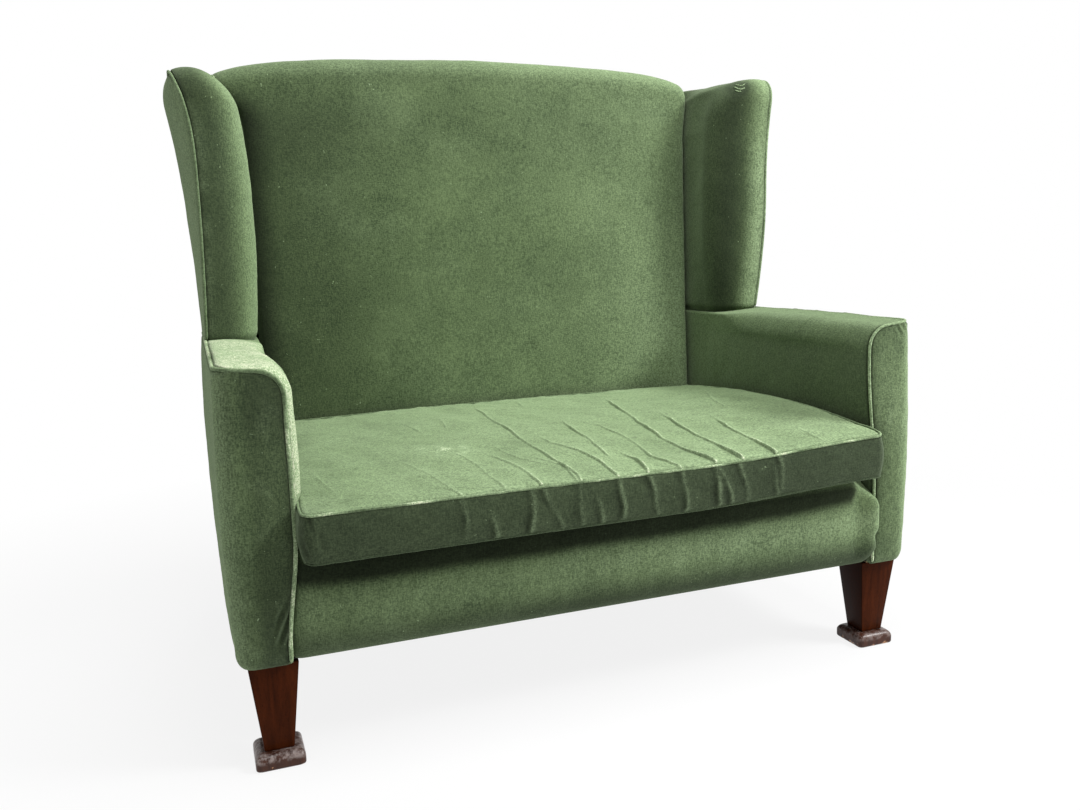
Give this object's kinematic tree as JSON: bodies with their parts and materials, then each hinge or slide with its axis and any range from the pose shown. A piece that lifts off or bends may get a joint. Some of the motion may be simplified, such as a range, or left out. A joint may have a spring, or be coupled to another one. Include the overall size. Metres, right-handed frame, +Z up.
{
  "type": "high back settee",
  "caption": "High back settee with wings, square padded arms, an arched crest, a loose seat cushion and tapered front legs on foot blocks.",
  "frame": {"origin": "on the floor, under the middle of the settee's overall width and depth", "axes": "+X to the right as seen from the front, along the settee's width; +Y to the rear, away from the sitter's knees; +Z up"},
  "size_m": [1.374, 0.8988, 1.272],
  "materials": {
    "velvet": "green cut-pile mohair velvet, worn pale at the edges",
    "velvet_piping": "self piping in the same velvet, worn paler",
    "mahogany": "dark red-brown stained and polished",
    "foot_block": "dark polish, scuffed grey-brown on top and chipped at the lower edges",
    "beech": "planed and unpolished",
    "jute": "plain coarse weave",
    "hair_stuffing": "teased hair and cotton felt",
    "cushion_filling": "foam in a cotton case",
    "dust_cloth": "thin black cotton",
    "spring_steel": "lacquered wire",
    "screw_steel": "plain steel"
  },
  "bodies": {
    "settee": {"front_rail": "beech", "back_rail": "beech", "side_rail_left": "beech", "side_rail_right": "beech", "corner_blocks": "beech", "block_screws": "screw_steel", "frame_dowels": "beech", "arm_post_left": "beech", "arm_post_right": "beech", "arm_rail_left": "beech", "arm_rail_right": "beech", "arm_tack_rail_left": "beech", "arm_tack_rail_right": "beech", "back_post_left": "beech", "back_post_right": "beech", "crest_rail": "beech", "lower_back_rail": "beech", "back_stile": "beech", "wing_post_left": "beech", "wing_post_right": "beech", "wing_rail_left": "beech", "wing_rail_right": "beech", "front_leg_left": "mahogany", "front_leg_right": "mahogany", "front_foot_left": "foot_block", "front_foot_right": "foot_block", "rear_leg_left": "mahogany", "rear_leg_right": "mahogany", "seat_webbing": "jute", "seat_springs": "spring_steel", "seat_hessian": "jute", "seat_stuffing": "hair_stuffing", "platform_cover": "velvet", "front_border": "velvet", "dust_cover": "dust_cloth", "back_webbing": "jute", "back_stuffing": "hair_stuffing", "inside_back_cover": "velvet", "outside_back_cover": "velvet", "arm_stuffing_left": "hair_stuffing", "arm_stuffing_right": "hair_stuffing", "inside_arm_cover_left": "velvet", "inside_arm_cover_right": "velvet", "outside_arm_cover_left": "velvet", "outside_arm_cover_right": "velvet", "arm_piping_left": "velvet_piping", "arm_piping_right": "velvet_piping", "wing_stuffing_left": "hair_stuffing", "wing_stuffing_right": "hair_stuffing", "inside_wing_cover_left": "velvet", "inside_wing_cover_right": "velvet", "outside_wing_cover_left": "velvet", "outside_wing_cover_right": "velvet", "wing_piping_left": "velvet_piping", "wing_piping_right": "velvet_piping"},
    "cushion": {"cushion_core": "cushion_filling", "cushion_cover": "velvet", "cushion_piping": "velvet_piping"}
  },
  "joints": [
    {"name": "cushion_lift", "type": "slide", "parent": "settee", "child": "cushion", "axis": [0, 0, 1], "range_m": [0, 0.95]}
  ]
}
